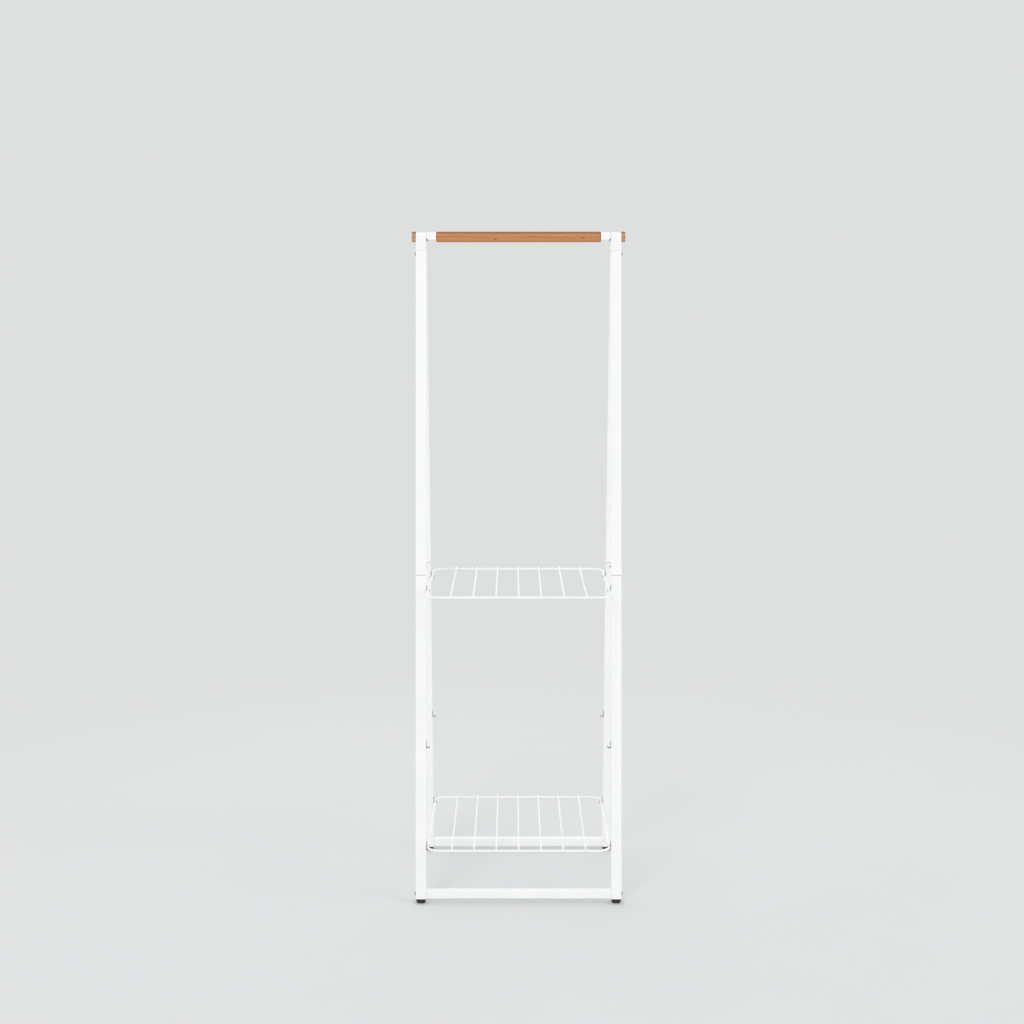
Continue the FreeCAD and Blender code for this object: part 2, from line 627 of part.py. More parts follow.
# Shelf: a perimeter rail bent from one rod, with straight wires laid on it from front to back.
def shelf_rail(name, level):
    body = new_body(name)
    long = f"({hook_reach('lower_level')} + strip_width / 2 + rail_margin + rail_corner)"
    spine = new_sketch(body, "XY_Plane")
    side_x = f"({RAIL_HALF} - rail_corner)"
    end_y = f"({long} - rail_corner)"
    outline(spine, (
        ("0", f"-{long}"),
        (side_x, f"-{long}", "rail_corner"),
        (RAIL_HALF, f"-{end_y}"),
        (RAIL_HALF, end_y, "rail_corner"),
        (side_x, long),
        (f"-{side_x}", long, "rail_corner"),
        (f"-{RAIL_HALF}", end_y),
        (f"-{RAIL_HALF}", f"-{end_y}", "rail_corner"),
        (f"-{side_x}", f"-{long}"),
    ))
    section = new_sketch(body, "YZ_Plane", f"-{long}", "0")
    circle(section, "rail_diameter")
    doc.recompute()
    rod = body.newObject("PartDesign::AdditivePipe", "Pipe")
    rod.Profile = section
    rod.Spine = (spine, [f"Edge{index + 1}" for index in range(len(spine.Shape.Edges))])
    return place(body, z=level)


def shelf_wires(name, level):
    long = f"({hook_reach('lower_level')} + strip_width / 2 + rail_margin + rail_corner)"
    half = f"({long} + rail_diameter / 2 - wire_setback)"
    count = int(number("wire_count"))
    wires = []
    for index in range(count):
        wire = doc.addObject("Part::Cylinder", "Wire")
        wire.setExpression("Radius", cell("wire_diameter / 2"))
        wire.setExpression("Height", cell(f"2 * {half}"))
        along = f"({index} - (wire_count - 1) / 2) * wire_pitch"
        place(wire, along, half, f"{level} + {WIRE_LEVEL}", roll="90")
        wires.append(wire)
    return group(name, wires)


# Bar: a steel core through all four fittings, a bamboo tube between the knuckles, and two bamboo
# end caps whose spigots go into the core.
def core_tube(name):
    body = new_body(name)
    sketch = new_sketch(body, "YZ_Plane")
    circle(sketch, "core_diameter")
    circle(sketch, "core_diameter - 2 * core_wall")
    pad(body, sketch, "leg_gap + 2 * tube_width", sides="Symmetric")
    return place(body, z="bar_height")


def turned_about_x(name, corners):
    """A piece turned about X from half of its section."""
    body = new_body(name)
    sketch = new_sketch(body, "XY_Plane")
    outline(sketch, corners)
    turned = body.newObject("PartDesign::Revolution", "Revolution")
    turned.Profile = sketch
    turned.ReferenceAxis = (sketch, ["H_Axis"])
    return body


def bamboo_bar(name):
    bore = "core_diameter / 2 + press_gap"
    rim = "bamboo_diameter / 2"
    half = f"{BAMBOO_LENGTH} / 2"
    body = turned_about_x(name, (
        (f"-{half}", bore),
        (f"-{half}", f"{rim} - bamboo_edge"),
        (f"bamboo_edge - {half}", rim),
        (f"{half} - bamboo_edge", rim),
        (half, f"{rim} - bamboo_edge"),
        (half, bore),
    ))
    return place(body, z="bar_height")


def end_cap(name, side):
    rim = "bamboo_diameter / 2"
    spigot = "core_diameter / 2 - core_wall - press_gap"
    body = turned_about_x(name, (
        ("-cap_spigot", "0"),
        ("-cap_spigot", spigot),
        ("0", spigot),
        ("0", f"{rim} - bamboo_edge"),
        ("bamboo_edge", rim),
        ("cap_length - bamboo_edge", rim),
        ("cap_length", f"{rim} - bamboo_edge"),
        ("cap_length", "0"),
    ))
    yaw = "0" if side > 0 else "180"
    return place(body, f"{side} * (leg_gap / 2 + tube_width)", "0", "bar_height", yaw)


keep(core_tube("bar_core"), "bar_core")
keep(bamboo_bar("bamboo_bar"), "bamboo_bar")
for side_name, side in SIDES:
    keep(end_cap(f"{side_name}_end_cap", side), f"{side_name}_end_cap")

for frame_name, frame in FRAMES:
    head = front_head if frame < 0 else rear_head
    top_bolts = []
    lower_bolts = []
    screws = []
    plugs = []
    for side_name, side in SIDES:
        leg = f"{frame_name}_{side_name}"
        outer = side * -frame
        keep(hang(head(f"{leg}_top_fitting", outer), frame, side), f"{leg}_top_fitting")
        keep(hang(upper_tube(f"{leg}_upper_tube", outer), frame, side), f"{leg}_upper_tube")
        keep(hang(joint_sleeve(f"{leg}_joint_sleeve"), frame, side), f"{leg}_joint_sleeve")
        keep(hang(lower_tube(f"{leg}_lower_tube"), frame, side), f"{leg}_lower_tube")
        keep(hang(foot(f"{leg}_foot"), frame, side), f"{leg}_foot")
        plugs.append(hang(cross_plug(f"{leg}_plug", -outer), frame))
        bolt = ("bolt_diameter", "bolt_head", "bolt_rise", "bolt_socket", "bolt_recess")
        top_bolt = button_bolt(f"{leg}_top_bolt", *bolt, "tube_width / 2 - bolt_short")
        top_bolts.append(leg_fastener(top_bolt, frame, side, BOLT_LEVEL))
        lower_bolt = button_bolt(f"{leg}_lower_bolt", *bolt, "tube_width + bolt_bite")
        lower_bolts.append(leg_fastener(lower_bolt, frame, side, CROSS_DROP))
        screw = ("screw_diameter", "screw_head", "screw_rise", "screw_socket", "screw_recess")
        joint = button_bolt(f"{leg}_screw", *screw, "tube_wall + slip_gap + sleeve_wall")
        screws.append(joint_screw(joint, frame, side))
    keep(hang(cross_tube(f"{frame_name}_cross_bar"), frame), f"{frame_name}_cross_bar")
    group(f"{frame_name}_cross_bar_plugs", plugs)
    group(f"{frame_name}_top_bolts", top_bolts)
    group(f"{frame_name}_lower_bolts", lower_bolts)
    group(f"{frame_name}_joint_screws", screws)
    for level in LEVELS:
        hooks = [hook_at(hook("Hook"), frame, side, f"{level}_level") for _, side in SIDES]
        group(f"{frame_name}_{level}_hooks", hooks)

for shelf in SHELVES:
    keep(shelf_rail(f"{shelf}_shelf_rail", f"{shelf}_level"), f"{shelf}_shelf_rail")
    shelf_wires(f"{shelf}_shelf_wires", f"{shelf}_level")

doc.recompute()

# Every object has to be sound, and every cut has to have removed something.
for item in doc.Objects:
    if {"Invalid", "Error"} & set(item.State):
        raise RuntimeError(f"{item.Name} ({item.Label}) failed: {item.State}")
    if item.TypeId == "PartDesign::Pocket":
        if item.BaseFeature.Shape.Volume - item.Shape.Volume < number("press_gap"):
            raise RuntimeError(f"{item.Name} in {item.getParentGeoFeatureGroup().Label} cuts nothing")
for item in nodes:
    if item.Shape.isNull() or not item.Shape.isValid() or not item.Shape.Solids:
        raise RuntimeError(f"{item.Label} has no sound solid")

os.makedirs("parts", exist_ok=True)
for item in nodes:
    item.Shape.exportStep(f"parts/{item.Label}.step")
    print(f"{item.Label}: {len(item.Shape.Solids)} solids, {item.Shape.Volume:.0f} mm3")
print(f"{len(nodes)} nodes")
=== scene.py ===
import math
import bpy
import numpy as np
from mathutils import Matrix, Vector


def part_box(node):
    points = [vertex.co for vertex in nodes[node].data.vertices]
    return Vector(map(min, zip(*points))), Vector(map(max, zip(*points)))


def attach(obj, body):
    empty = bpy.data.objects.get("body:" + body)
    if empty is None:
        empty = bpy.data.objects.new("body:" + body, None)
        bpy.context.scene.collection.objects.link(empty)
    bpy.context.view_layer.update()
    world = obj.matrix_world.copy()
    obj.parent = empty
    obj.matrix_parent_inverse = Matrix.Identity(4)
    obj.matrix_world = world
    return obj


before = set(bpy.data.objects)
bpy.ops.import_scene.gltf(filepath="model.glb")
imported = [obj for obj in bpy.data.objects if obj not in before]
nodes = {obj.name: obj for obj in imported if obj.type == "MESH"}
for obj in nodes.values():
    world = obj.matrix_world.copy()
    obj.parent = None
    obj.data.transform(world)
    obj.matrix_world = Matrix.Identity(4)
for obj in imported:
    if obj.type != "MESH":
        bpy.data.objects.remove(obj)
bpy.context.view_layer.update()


# Leg tubes and cross-bars: the four legs and the two low bars that tie them, thin rectangular steel
# tube that is sawn, drilled and powder-coated white. Each leg is two lengths that meet at half
# height on a hidden sleeve, and a bar is bolted between the two legs of its frame.
class Field:
    """A socket of a shader tree. Arithmetic on it adds the Math nodes that work it out."""

    def __init__(self, socket):
        self.socket = socket

    def node(self, kind, settings, sockets, output=0):
        """Adds a node of any kind to the same tree: first its settings, a ramp's stops among them,
        then the values or links of its sockets. Gives the chosen output."""
        made = self.socket.id_data.nodes.new(kind)
        for name, value in settings.items():
            if name == "stops":
                ramp = made.color_ramp.elements
                for position, _ in value[2:]:
                    ramp.new(position)
                for stop, (position, colour) in zip(ramp, value):
                    stop.position = position
                    stop.color = colour
            else:
                setattr(made, name, value)
        feed(made, sockets)
        return Field(made.outputs[output])

    def math(self, operation, *values):
        return self.node("ShaderNodeMath", {"operation": operation}, dict(enumerate(values)))

    def __add__(self, other):
        return self.math("ADD", self, other)

    def __sub__(self, other):
        return self.math("SUBTRACT", self, other)

    def __rsub__(self, other):
        return self.math("SUBTRACT", other, self)

    def __mul__(self, other):
        return self.math("MULTIPLY", self, other)

    def __truediv__(self, other):
        return self.math("DIVIDE", self, other)

    def __mod__(self, other):
        return self.math("FLOORED_MODULO", self, other)

    def __pow__(self, other):
        return self.math("POWER", self, other)

    def __abs__(self):
        return self.math("ABSOLUTE", self)

    def __floor__(self):
        return self.math("FLOOR", self)

    __radd__ = __add__
    __rmul__ = __mul__


def feed(node, sockets):
    """Links fields to a node's sockets, or sets plain values on them."""
    for name, value in sockets.items():
        socket = node.inputs[name]
        if isinstance(value, Field):
            node.id_data.links.new(value.socket, socket)
        else:
            socket.default_value = value


def new_finish(name):
    """A material with its shader, and the place on the piece in metres."""
    material = bpy.data.materials.new(name)
    material.use_nodes = True
    shader = material.node_tree.nodes["Principled BSDF"]
    place = Field(shader.outputs[0]).node("ShaderNodeTexCoord", {}, {}, output="Object")
    return material, shader, place


def stretched(vector, sizes):
    """The vector counted in steps of those sizes, in metres, along X, Y and Z."""
    return vector.node("ShaderNodeVectorMath", {"operation": "DIVIDE"}, {0: vector, 1: sizes})


def noise(vector, size=1.0, detail=2.0):
    """Cloudy noise from 0 to 1 with patches of about that size."""
    sockets = {"Vector": vector, "Scale": 1 / size, "Detail": detail}
    return vector.node("ShaderNodeTexNoise", {}, sockets)


def step(value, start, end):
    """A smooth rise from 0 to 1 while the value goes from start to end."""
    sockets = {"Value": value, "From Min": start, "From Max": end}
    return value.node("ShaderNodeMapRange", {"interpolation_type": "SMOOTHSTEP"}, sockets)


def patches(place, size):
    """Soft patches of about that size: noise with its contrast raised."""
    darkest, palest = 0.3, 0.7
    return step(noise(place, size), darkest, palest)


def colours(share, low, high):
    """The colour that goes from low to high while the share goes from 0 to 1. A Mix node's colour
    sockets go by number, because its sockets for other kinds of values have the same names."""
    first, second, mixed = 6, 7, 2
    ends = [(*colour, 1) if isinstance(colour, tuple) else colour for colour in (low, high)]
    sockets = {"Factor": share, first: ends[0], second: ends[1]}
    return share.node("ShaderNodeMix", {"data_type": "RGBA"}, sockets, output=mixed)


def relief(height, depth):
    """The surface's normal over a relief of that depth in metres."""
    sockets = {"Height": height, "Distance": depth, "Strength": 1.0}
    return height.node("ShaderNodeBump", {}, sockets)


MM = 0.001


def white_coat(name, white, shaded, peel_size, peel_depth):
    """White powder coat: a faint drift of tone, fine orange-peel relief, and a sheen that varies a
    little where hands and cloths have rubbed it."""
    drift_size = 120 * MM
    rub_sizes = (30 * MM, 30 * MM, 90 * MM)
    smoothest, dulled = 0.34, 0.14
    material, shader, place = new_finish(name)
    rubbed = noise(stretched(place, rub_sizes), detail=3.0)
    peel = noise(place, peel_size, detail=1.0)
    feed(shader, {
        "Base Color": colours(patches(place, drift_size), shaded, white),
        "Roughness": smoothest + rubbed * dulled,
        "Normal": relief(peel, peel_depth),
    })
    return material


def dress(material, *names):
    """Gives nodes of the frame their finish."""
    for name in names:
        nodes[name].data.materials.clear()
        nodes[name].data.materials.append(material)


FRAMES = ("front", "rear")
LEGS = [f"{frame_name}_{side}" for frame_name in FRAMES for side in ("left", "right")]
leg_white, leg_shaded = (0.890, 0.890, 0.884), (0.868, 0.870, 0.867)
leg_coat = white_coat(
    "leg_powder_coat", leg_white, leg_shaded, peel_size=1.6 * MM, peel_depth=0.03 * MM
)
for leg in LEGS:
    dress(leg_coat, f"{leg}_upper_tube", f"{leg}_lower_tube")
for frame_name in FRAMES:
    dress(leg_coat, f"{frame_name}_cross_bar")


# Hidden stays: the sleeves inside the half-height joints and the core through the bar are drawn
# steel tube, and the plugs in the cross-bars are dark moulded nylon for the lower bolts' threads.
# All are closed in by other pieces and show only at the joint lines.
def drawn_steel(name, along):
    """Drawn tube: grey steel with fine lines along the way that it was drawn, which is given as
    0, 1 or 2 for X, Y or Z."""
    dark, light = (0.36, 0.36, 0.355), (0.50, 0.50, 0.495)
    line_width, line_length, line_depth = 0.5 * MM, 80 * MM, 0.01 * MM
    smoothest, dulled = 0.28, 0.2
    material, shader, place = new_finish(name)
    line_sizes = [line_width] * 3
    line_sizes[along] = line_length
    lines = noise(stretched(place, line_sizes), detail=3.0)
    feed(shader, {
        "Base Color": colours(lines, dark, light),
        "Roughness": smoothest + lines * dulled,
        "Normal": relief(lines, line_depth),
        "Metallic": 1.0,
    })
    return material


def moulded_nylon():
    """Dark nylon: a fine spark-eroded grain and a little drift of tone."""
    dark, light = (0.030, 0.030, 0.032), (0.045, 0.045, 0.046)
    drift_size, grain_size, grain_depth = 9 * MM, 0.7 * MM, 0.02 * MM
    smoothest, dulled = 0.5, 0.15
    material, shader, place = new_finish("plug_nylon")
    grain = noise(place, grain_size, detail=3.0)
    feed(shader, {
        "Base Color": colours(noise(place, drift_size), dark, light),
        "Roughness": smoothest + grain * dulled,
        "Normal": relief(grain, grain_depth),
    })
    return material


dress(drawn_steel("core_steel", along=0), "bar_core")
dress(drawn_steel("sleeve_steel", along=2), *(f"{leg}_joint_sleeve" for leg in LEGS))
dress(moulded_nylon(), *(f"{frame_name}_cross_bar_plugs" for frame_name in FRAMES))


# Top fittings: four white mouldings that close the tops of the legs and hold the bar. The front
# pair has eyes fixed on the core, and the rear pair has knuckles that turn on it. Each is plugged
# into its tube and held by one bolt.
def parts(vector):
    """The three numbers of a vector."""
    split = vector.node("ShaderNodeSeparateXYZ", {}, {0: vector})
    return [Field(output) for output in split.socket.node.outputs]


def moulded_white(leg_middle):
    """White plastic to match the tubes: a fine grain, and a thin parting line up the middle of each
    leg, which lies that far to the side."""
    white, shaded = (0.872, 0.872, 0.866), (0.845, 0.847, 0.843)
    drift_size, grain_size = 25 * MM, 0.8 * MM
    line_core, line_edge, line_depth, grain_share = 0.1 * MM, 0.3 * MM, 0.06 * MM, 0.25
    smoothest, dulled = 0.42, 0.10
    material, shader, place = new_finish("fitting_plastic")
    off_middle = abs(abs(parts(place)[0]) - leg_middle)
    line = 1 - step(off_middle, line_core, line_edge)
    grain = noise(place, grain_size)
    feed(shader, {
        "Base Color": colours(patches(place, drift_size), shaded, white),
        "Roughness": smoothest + grain * dulled,
        "Normal": relief(grain * grain_share + line, line_depth),
    })
    return material


leg_low, leg_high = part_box("front_right_upper_tube")
leg_middle = (leg_low.x + leg_high.x) / 2
dress(moulded_white(leg_middle), *(f"{leg}_top_fitting" for leg in LEGS))


# Bamboo bar and end caps: the bar that things hang on, turned from laminated bamboo and slid over
# the core between the knuckles, and two short caps of the same stock plugged into the core's ends.
# The strips run along the bar, so the caps show end grain. The finish is a thin satin lacquer.
def bamboo(name, tones, piece):
    """Laminated bamboo: strips in layers with fine glue lines between them, each with a tone of its
    own. Painted shade darkens the top and bottom layers and the rims, and painted light makes the
    lower half paler. Fibres and flecks run along them and show as dots in the end grain, and a soft
    ring crosses a strip where the cane had a joint."""
    layer_height, strip_width, strip_stagger = 5 * MM, 17 * MM, 6.5 * MM
    glue_core, glue_edge = 0.05 * MM, 0.22 * MM
    fibre_sizes, fibre_start, fibre_full = (28 * MM, 0.40 * MM, 0.40 * MM), 0.42, 0.66
    band_sizes, band_start, band_full = (90 * MM, 2.6 * MM, 2.6 * MM), 0.25, 0.75
    fleck_sizes, fleck_start, fleck_full = (11 * MM, 0.30 * MM, 0.30 * MM), 0.60, 0.68
    joint_spacing, joint_shift = 1000 * MM, 250 * MM
    first_layer, first_joint = 1, -66 * MM
    joint_core, joint_edge = 1.0 * MM, 7.0 * MM
    halo_core, halo_edge = 2.0 * MM, 14 * MM
    waver_size, waver_reach = 2.5 * MM, 8.0 * MM
    # The rims, which painted shade darkens, and the end grain.
    rim_core, rim_edge = 0.4 * MM, 2.2 * MM
    end_start, end_full = 0.5 * MM, 0.2 * MM
    # The top and bottom layers, which painted shade darkens, and the lower half, which painted
    # light makes paler.
    top_start, top_full = 1.40 * layer_height, 1.05 * layer_height
    bottom_full, bottom_end = 0.45 * layer_height, 0.75 * layer_height
    lower_full, lower_end = 1.5 * layer_height, 3.5 * layer_height
    tone_stops = (0.0, 0.33, 0.66, 1.0)
    strip_spread, band_spread, end_band_loss = 0.45, 0.60, 0.45
    # How strong the painted shade and painted light are, and how much paler the end grain is.
    painted_top_shade_share, painted_bottom_shade_share, painted_rim_shade_share, painted_shade_end_loss = 0.66, 0.40, 0.45, 0.7
    painted_lower_light_share, end_paler = 0.22, 0.25
    fibre_dark, fibre_share, end_fibre_share = (0.20, 0.076, 0.028), 0.22, 0.08
    joint_dark, joint_share, halo_share = (0.29, 0.105, 0.040), 0.55, 0.16
    fleck_share, glue_share = 0.42, 0.22
    smoothest, fibre_dulled, joint_dulled = 0.48, 0.16, 0.1
    relief_depth = 0.06 * MM
    fibre_rise, fleck_pit, glue_pit, joint_rise = 0.6, 0.5, 0.4, 0.6
    material, shader, place = new_finish(name)
    low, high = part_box(piece)
    x, y, z = parts(place)
    end_grain = step(abs(x), high.x - end_start, high.x - end_full)

    # Each strip's number in its layer gives it a tone, and the glue lines lie along its edges.
    layers = (z - low.z) / layer_height
    layer = math.floor(layers)
    strips = (y - low.y + layer * strip_stagger) / strip_width
    address = x.node("ShaderNodeCombineXYZ", {}, {0: layer, 1: math.floor(strips)})
    chance = x.node("ShaderNodeTexWhiteNoise", {"noise_dimensions": "2D"}, {"Vector": address})
    to_layer_edge = (0.5 - abs(layers % 1 - 0.5)) * layer_height
    to_strip_edge = (0.5 - abs(strips % 1 - 0.5)) * strip_width
    to_edge = x.math("MINIMUM", to_layer_edge, to_strip_edge)
    glue_line = 1 - step(to_edge, glue_core, glue_edge)

    # The grain along the cane, and its joints, which shift from layer to layer.
    fibres = noise(stretched(place, fibre_sizes))
    bands = noise(stretched(place, band_sizes))
    flecks = step(noise(stretched(place, fleck_sizes), detail=1.0), fleck_start, fleck_full)
    waver = (noise(place, waver_size) - 0.5) * waver_reach
    along = x - first_joint - (layer - first_layer) * joint_shift
    off_joint = abs((along + joint_spacing / 2) % joint_spacing - joint_spacing / 2 + waver)
    joint = 1 - step(off_joint, joint_core, joint_edge)
    halo = 1 - step(off_joint, halo_core, halo_edge)

    # The tone of the strips, darkened by painted shade on the top and bottom layers and the rims,
    # made paler by painted light on the lower half, and paler in the end grain.
    painted_top_shade = step(z, high.z - top_start, high.z - top_full)
    painted_bottom_shade = 1 - step(z, low.z + bottom_full, low.z + bottom_end)
    painted_lower_light = 1 - step(z, low.z + lower_full, low.z + lower_end)
    # Painted shade at the rims next to the ends.
    painted_inner_rim_shade = 1 - step(abs(x), low.x + rim_core, low.x + rim_edge)
    painted_outer_rim_shade = step(abs(x), high.x - rim_edge, high.x - rim_core) * (1 - end_grain)
    painted_rim_shade = (painted_inner_rim_shade + painted_outer_rim_shade) * painted_rim_shade_share
    painted_shade = painted_top_shade * painted_top_shade_share + painted_bottom_shade * painted_bottom_shade_share + painted_rim_shade
    # Painted light on the lower half, and the end grain's own paler tone.
    painted_light_and_end_paler = painted_lower_light * painted_lower_light_share + end_grain * end_paler
    drift = step(bands, band_start, band_full) * (band_spread - end_grain * end_band_loss)
    tone = chance * strip_spread + drift + painted_light_and_end_paler - painted_shade * (1 - end_grain * painted_shade_end_loss)
    stops = [(position, (*colour, 1)) for position, colour in zip(tone_stops, tones)]
    plain = tone.node("ShaderNodeValToRGB", {"stops": stops}, {"Fac": tone})
    fibre_weight = fibre_share + end_grain * end_fibre_share
    grained = colours(step(fibres, fibre_start, fibre_full) * fibre_weight, plain, fibre_dark)
    flecked = colours(flecks * fleck_share + glue_line * glue_share, grained, joint_dark)
    raised = fibres * fibre_rise - flecks * fleck_pit - glue_line * glue_pit + joint * joint_rise
    feed(shader, {
        "Base Color": colours(halo * halo_share + joint * joint_share, flecked, joint_dark),
        "Roughness": smoothest + fibres * fibre_dulled + joint * joint_dulled,
        "Normal": relief(raised, relief_depth),
        "Specular IOR Level": 0.35,
        "Coat Weight": 0.10,
        "Coat Roughness": 0.40,
    })
    return material


bar_tones = (
    (0.275, 0.108, 0.040), (0.474, 0.190, 0.068), (0.562, 0.243, 0.093), (0.625, 0.290, 0.120),
)
cap_tones = (
    (0.260, 0.135, 0.063), (0.460, 0.248, 0.124), (0.560, 0.320, 0.172), (0.640, 0.386, 0.224),
)
dress(bamboo("bar_bamboo", bar_tones, "bamboo_bar"), "bamboo_bar")
dress(bamboo("cap_bamboo", cap_tones, "right_end_cap"), "left_end_cap", "right_end_cap")


# Feet: four black rubber pads moulded with a plug, pushed into the lower ends of the legs. They
# stop the steel from marking the floor, and their soles are level though the legs lean.
def foot_rubber():
    """Black rubber: a matt moulded grain, paler where dust gathers next to the floor."""
    black, dusty = (0.016, 0.016, 0.017), (0.13, 0.125, 0.115)
    grain_size, grain_depth = 0.9 * MM, 0.04 * MM
    dust_full, dust_top, most_dust = 0.3 * MM, 5 * MM, 0.5
    speck_size, speck_start, speck_full = 3 * MM, 0.4, 0.75
    smoothest, dulled = 0.55, 0.2
    material, shader, place = new_finish("foot_rubber")
    height = parts(place)[2]
    grain = noise(place, grain_size, detail=3.0)
    specks = step(noise(place, speck_size, detail=3.0), speck_start, speck_full)
    dust = (1 - step(height, dust_full, dust_top)) * specks * most_dust
    feed(shader, {
        "Base Color": colours(dust, black, dusty),
        "Roughness": smoothest + grain * dulled + dust * dulled,
        "Normal": relief(grain, grain_depth),
    })
    return material


dress(foot_rubber(), *(f"{leg}_foot" for leg in LEGS))


# Bolts and screws: zinc-plated steel with button heads and hexagon sockets. The large ones hold the
# top fittings and cross-bars from the outer sides of the legs, and the small ones lock the joints
# at half height from the faces that look at the other frame.
def plated_steel(name, middle, axis):
    """Zinc plate: dull grey metal with fine turning rings about each head's own axis, x or y, which
    goes through the middle given, and on the left side through its mirror image."""
    dark, light = (0.27, 0.27, 0.268), (0.40, 0.40, 0.40)
    ring_spacing, cloud_size, relief_depth = 0.5 * MM, 2 * MM, 0.015 * MM
    ring_share, cloud_share = 0.4, 0.6
    smoothest, dulled = 0.30, 0.16
    material, shader, place = new_finish(name)
    x, y, z = parts(place)
    sideways = y - middle.y if axis == "x" else abs(x) - middle.x
    radius = (sideways ** 2 + (z - middle.z) ** 2) ** 0.5
    rings = abs((radius / ring_spacing) % 1 - 0.5) * 2
    cloud = noise(place, cloud_size, detail=3.0)
    feed(shader, {
        "Base Color": colours(cloud, dark, light),
        "Roughness": smoothest + cloud * dulled,
        "Normal": relief(rings * ring_share + cloud * cloud_share, relief_depth),
        "Metallic": 1.0,
    })
    return material


for frame_name in FRAMES:
    for kind, axis in (("top_bolts", "x"), ("lower_bolts", "x"), ("joint_screws", "y")):
        name = f"{frame_name}_{kind}"
        low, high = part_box(name)
        middle = (low + high) / 2
        if axis == "y":
            middle.x = leg_middle
        dress(plated_steel(f"{name}_zinc", middle, axis), name)


# Hooks: twelve bent strips of rolled steel on the inner sides of the legs, at three heights. The
# shelves lie in those at two of the heights, and the middle ones are spare. Each is held to its leg
# by one flat rivet above the slot.
def strip_steel(name, dark, light):
    """Rolled strip: grey steel with streaks down the strip and a dull, cloudy plating."""
    streak_sizes, streak_depth = (12 * MM, 0.6 * MM, 12 * MM), 0.012 * MM
    cloud_size, streak_share, cloud_share = 4 * MM, 0.6, 0.4
    smoothest, dulled = 0.30, 0.2
    material, shader, place = new_finish(name)
    streaks = noise(stretched(place, streak_sizes), detail=3.0)
    cloud = noise(place, cloud_size, detail=3.0)
    feed(shader, {
        "Base Color": colours(streaks * streak_share + cloud * cloud_share, dark, light),
        "Roughness": smoothest + cloud * dulled,
        "Normal": relief(streaks, streak_depth),
        "Metallic": 1.0,
    })
    return material


def ovals(name, centres, half_sizes):
    """Closed oval beads: a sphere's grid of turn and tilt, times the half sizes, at each centre.
    The cosine of the tilt gives a ring's radius and its sine the ring's height, and a point closes
    each end."""
    turns, tilts = 16, 7
    turn = np.arange(turns) * 2 * math.pi / turns
    tilt = (np.arange(1, tilts) / tilts - 0.5) * math.pi
    ring = np.stack([np.cos(turn), np.sin(turn)], axis=-1)
    body = np.concatenate([
        np.cos(tilt)[:, None, None] * ring[None],
        np.broadcast_to(np.sin(tilt)[:, None, None], (tilts - 1, turns, 1)),
    ], axis=-1).reshape(-1, 3)
    unit = np.concatenate([body, [(0, 0, -1), (0, 0, 1)]])
    here = np.arange(turns)
    there = (here + 1) % turns
    rows = np.arange(tilts - 2)[:, None] * turns
    corners = [rows + here, rows + there, rows + turns + there, rows + turns + here]
    quads = np.stack(corners, axis=-1)
    last = (tilts - 2) * turns
    bottom = np.stack([there, here, np.full(turns, len(unit) - 2)], axis=-1)
    top = np.stack([last + here, last + there, np.full(turns, len(unit) - 1)], axis=-1)
    centres = np.asarray(centres)
    points = centres[:, None] + unit * np.asarray(half_sizes)
    shift = (np.arange(len(centres)) * len(unit))[:, None, None]
    faces = (quads.reshape(-1, 4) + shift).reshape(-1, 4).tolist()
    faces += (np.concatenate([bottom, top]) + shift).reshape(-1, 3).tolist()
    mesh = bpy.data.meshes.new(name)
    mesh.from_pydata(points.reshape(-1, 3), [], faces)
    mesh.polygons.foreach_set("use_smooth", np.ones(len(faces), dtype=bool))
    piece = bpy.data.objects.new(name, mesh)
    bpy.context.scene.collection.objects.link(piece)
    return piece


strip_thickness = 1.3 * MM
rivet_height = 13 * MM
rivet_half_sizes = (0.22 * MM, 2.4 * MM, 2.4 * MM)
hook_steel = strip_steel("hook_steel", dark=(0.25, 0.25, 0.25), light=(0.38, 0.38, 0.375))
rivet_steel = strip_steel("rivet_steel", dark=(0.42, 0.42, 0.415), light=(0.58, 0.58, 0.57))
for frame_name in FRAMES:
    hooks = [f"{frame_name}_{level}_hooks" for level in ("lower", "middle", "upper")]
    dress(hook_steel, *hooks)
    centres = []
    for hook in hooks:
        low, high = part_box(hook)
        inside = high.x - strip_thickness
        y = (low.y + high.y) / 2
        centres += [(-inside, y, low.z + rivet_height), (inside, y, low.z + rivet_height)]
    rivets = ovals(f"{frame_name}_hook_rivets", centres, rivet_half_sizes)
    rivets.data.materials.append(rivet_steel)
    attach(rivets, f"{frame_name}_frame")


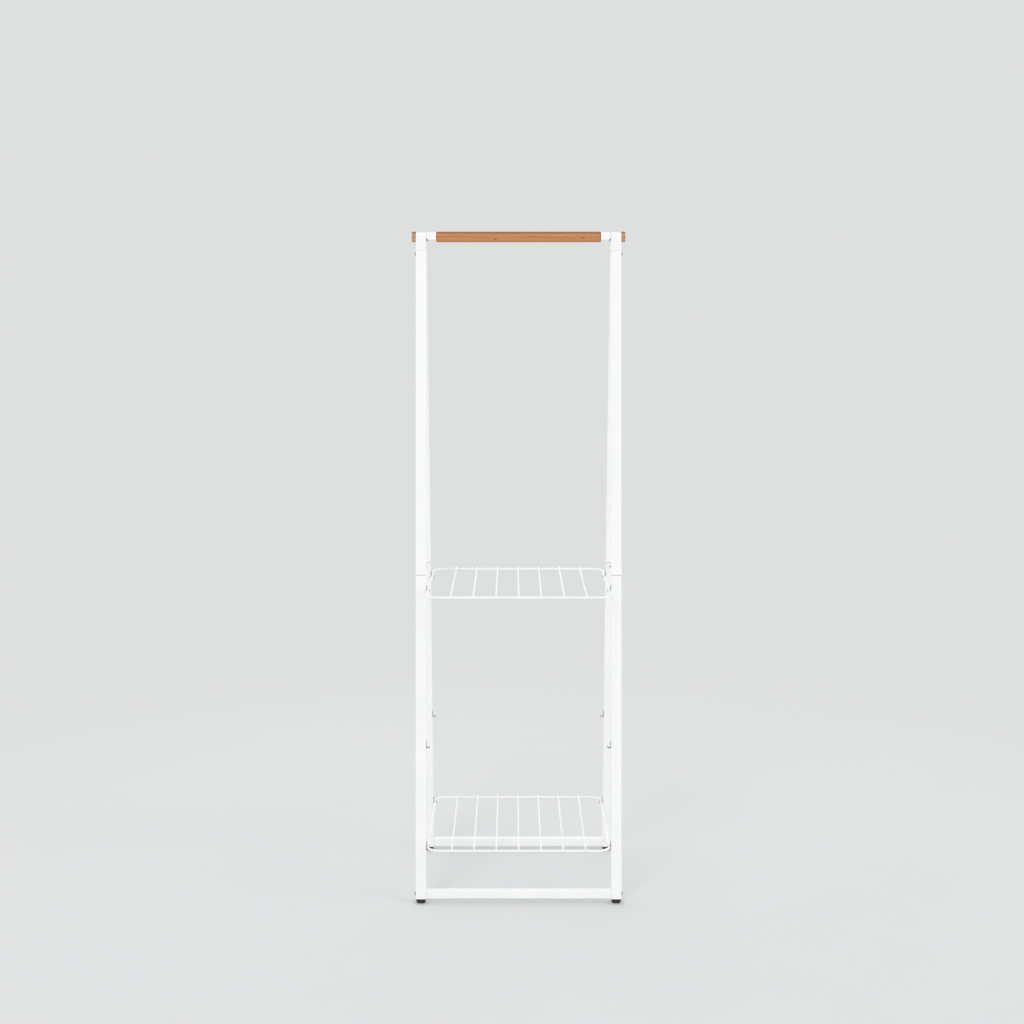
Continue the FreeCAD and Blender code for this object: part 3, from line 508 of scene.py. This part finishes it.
# Shelves: two white shelves that lift out. Each has a rail bent from one steel rod and welded into
# a ring, with seven thinner wires laid across it and spot-welded at both ends, then powder-coated.
wire_count = 7
wire_bead = (2.6 * MM, 2.8 * MM, 1.2 * MM)
ring_bead, ring_proud = 1.6 * MM, 0.3 * MM
shelf_white, shelf_shaded = (0.896, 0.896, 0.891), (0.876, 0.878, 0.875)
shelf_coat = white_coat(
    "shelf_powder_coat", shelf_white, shelf_shaded, peel_size=1.1 * MM, peel_depth=0.012 * MM
)
for shelf in ("lower_shelf", "upper_shelf"):
    dress(shelf_coat, f"{shelf}_rail", f"{shelf}_wires")
    low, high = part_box(f"{shelf}_rail")
    first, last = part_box(f"{shelf}_wires")
    rail_radius = (high.z - low.z) / 2
    wire_radius = (last.z - first.z) / 2
    x = np.linspace(first.x + wire_radius, last.x - wire_radius, wire_count)
    y = np.array([low.y + rail_radius, high.y - rail_radius])
    z = np.full((2, wire_count), high.z)
    centres = np.stack([*np.meshgrid(x, y), z], axis=-1).reshape(-1, 3)
    ring_end = (x[-1] + x[-2]) / 2, high.y - rail_radius, high.z - rail_radius
    ring_radius = rail_radius + ring_proud
    beads = {
        "wire_welds": (centres, wire_bead),
        "ring_weld": ([ring_end], (ring_bead, ring_radius, ring_radius)),
    }
    for bead, (middles, half_sizes) in beads.items():
        welds = ovals(f"{shelf}_{bead}", middles, half_sizes)
        welds.data.materials.append(shelf_coat)
        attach(welds, shelf)


# Floor: a plain pale studio floor that fades out into the pale surroundings, so that no edge of it
# shows from any side. It takes the rack's soft shadow and throws none itself, so that the low lamp,
# which stands for the light that a bright floor sends back up, can shine through it.
floor_radius, floor_corners = 4.0, 96
fade_start, fade_end = 1.3, 3.2
floor_dark, floor_pale, floor_patch = (0.690, 0.691, 0.695), (0.710, 0.711, 0.715), 0.5
rim = np.arange(floor_corners) * 2 * math.pi / floor_corners
floor_points = np.stack([np.cos(rim), np.sin(rim), np.zeros_like(rim)], axis=-1) * floor_radius
floor_mesh = bpy.data.meshes.new("floor")
floor_mesh.from_pydata(floor_points, [], [list(range(floor_corners))])
floor = bpy.data.objects.new("floor", floor_mesh)
floor.visible_shadow = False
bpy.context.scene.collection.objects.link(floor)
floor_finish, floor_shader, floor_place = new_finish("studio_floor")
floor_x, floor_y, _ = parts(floor_place)
floor_reach = (floor_x ** 2 + floor_y ** 2) ** 0.5
feed(floor_shader, {
    "Base Color": colours(noise(floor_place, floor_patch), floor_dark, floor_pale),
    "Roughness": 0.75,
    "Specular IOR Level": 0.2,
})
faded = floor_reach.node("ShaderNodeMixShader", {}, {
    0: step(floor_reach, fade_start, fade_end),
    1: Field(floor_shader.outputs[0]),
    2: floor_reach.node("ShaderNodeBsdfTransparent", {}, {}),
})
feed(floor_finish.node_tree.nodes["Material Output"], {"Surface": faded})
floor_mesh.materials.append(floor_finish)


# Surroundings and lamps: an even pale surround, a soft lamp high at the front left, a low one for
# what the floor sends back up, one at the right and a wide one behind on the left. They light a
# front face at about the level of its written colour.
surround_colour = (0.735, 0.737, 0.741, 1)
world = bpy.data.worlds.new("studio")
world.use_nodes = True
bpy.context.scene.world = world
feed(world.node_tree.nodes["Background"], {"Color": surround_colour, "Strength": 1.0})


def lamp(name, strength, spread, place):
    """A distant soft lamp with that strength in watts per square metre and spread in degrees, which
    shines from a place towards the origin."""
    light = bpy.data.lights.new(name, "SUN")
    light.energy = strength
    light.angle = math.radians(spread)
    holder = bpy.data.objects.new(name, light)
    flat = math.hypot(place[0], place[1])
    holder.rotation_euler = (math.atan2(flat, place[2]), 0, math.atan2(place[0], -place[1]))
    bpy.context.scene.collection.objects.link(holder)


lamp("front_lamp", 0.55, 20.0, (-0.9, -2.4, 2.2))
lamp("low_lamp", 0.44, 60.0, (-0.5, -2.4, -1.2))
lamp("side_lamp", 0.72, 40.0, (2.6, -1.1, 1.0))
lamp("back_lamp", 0.94, 120.0, (-1.4, 2.4, 1.4))


# Camera: as in the photograph, straight in front of the rack and a little lower than the bar,
# tilted down by a few degrees, with a long lens. All were fitted to places on the legs and shelves.
photo_width = 1024
focal_pixels = 1647
tilt_down = 6.755
camera_place = (-0.0187, -4.769, 1.658)
camera_data = bpy.data.cameras.new("camera")
camera_data.sensor_width = 36.0
camera_data.lens = focal_pixels / photo_width * camera_data.sensor_width
camera = bpy.data.objects.new("camera", camera_data)
camera.location = camera_place
camera.rotation_euler = (math.radians(90 - tilt_down), 0, 0)
bpy.context.scene.collection.objects.link(camera)
bpy.context.scene.camera = camera
bpy.context.scene.view_settings.view_transform = "Standard"
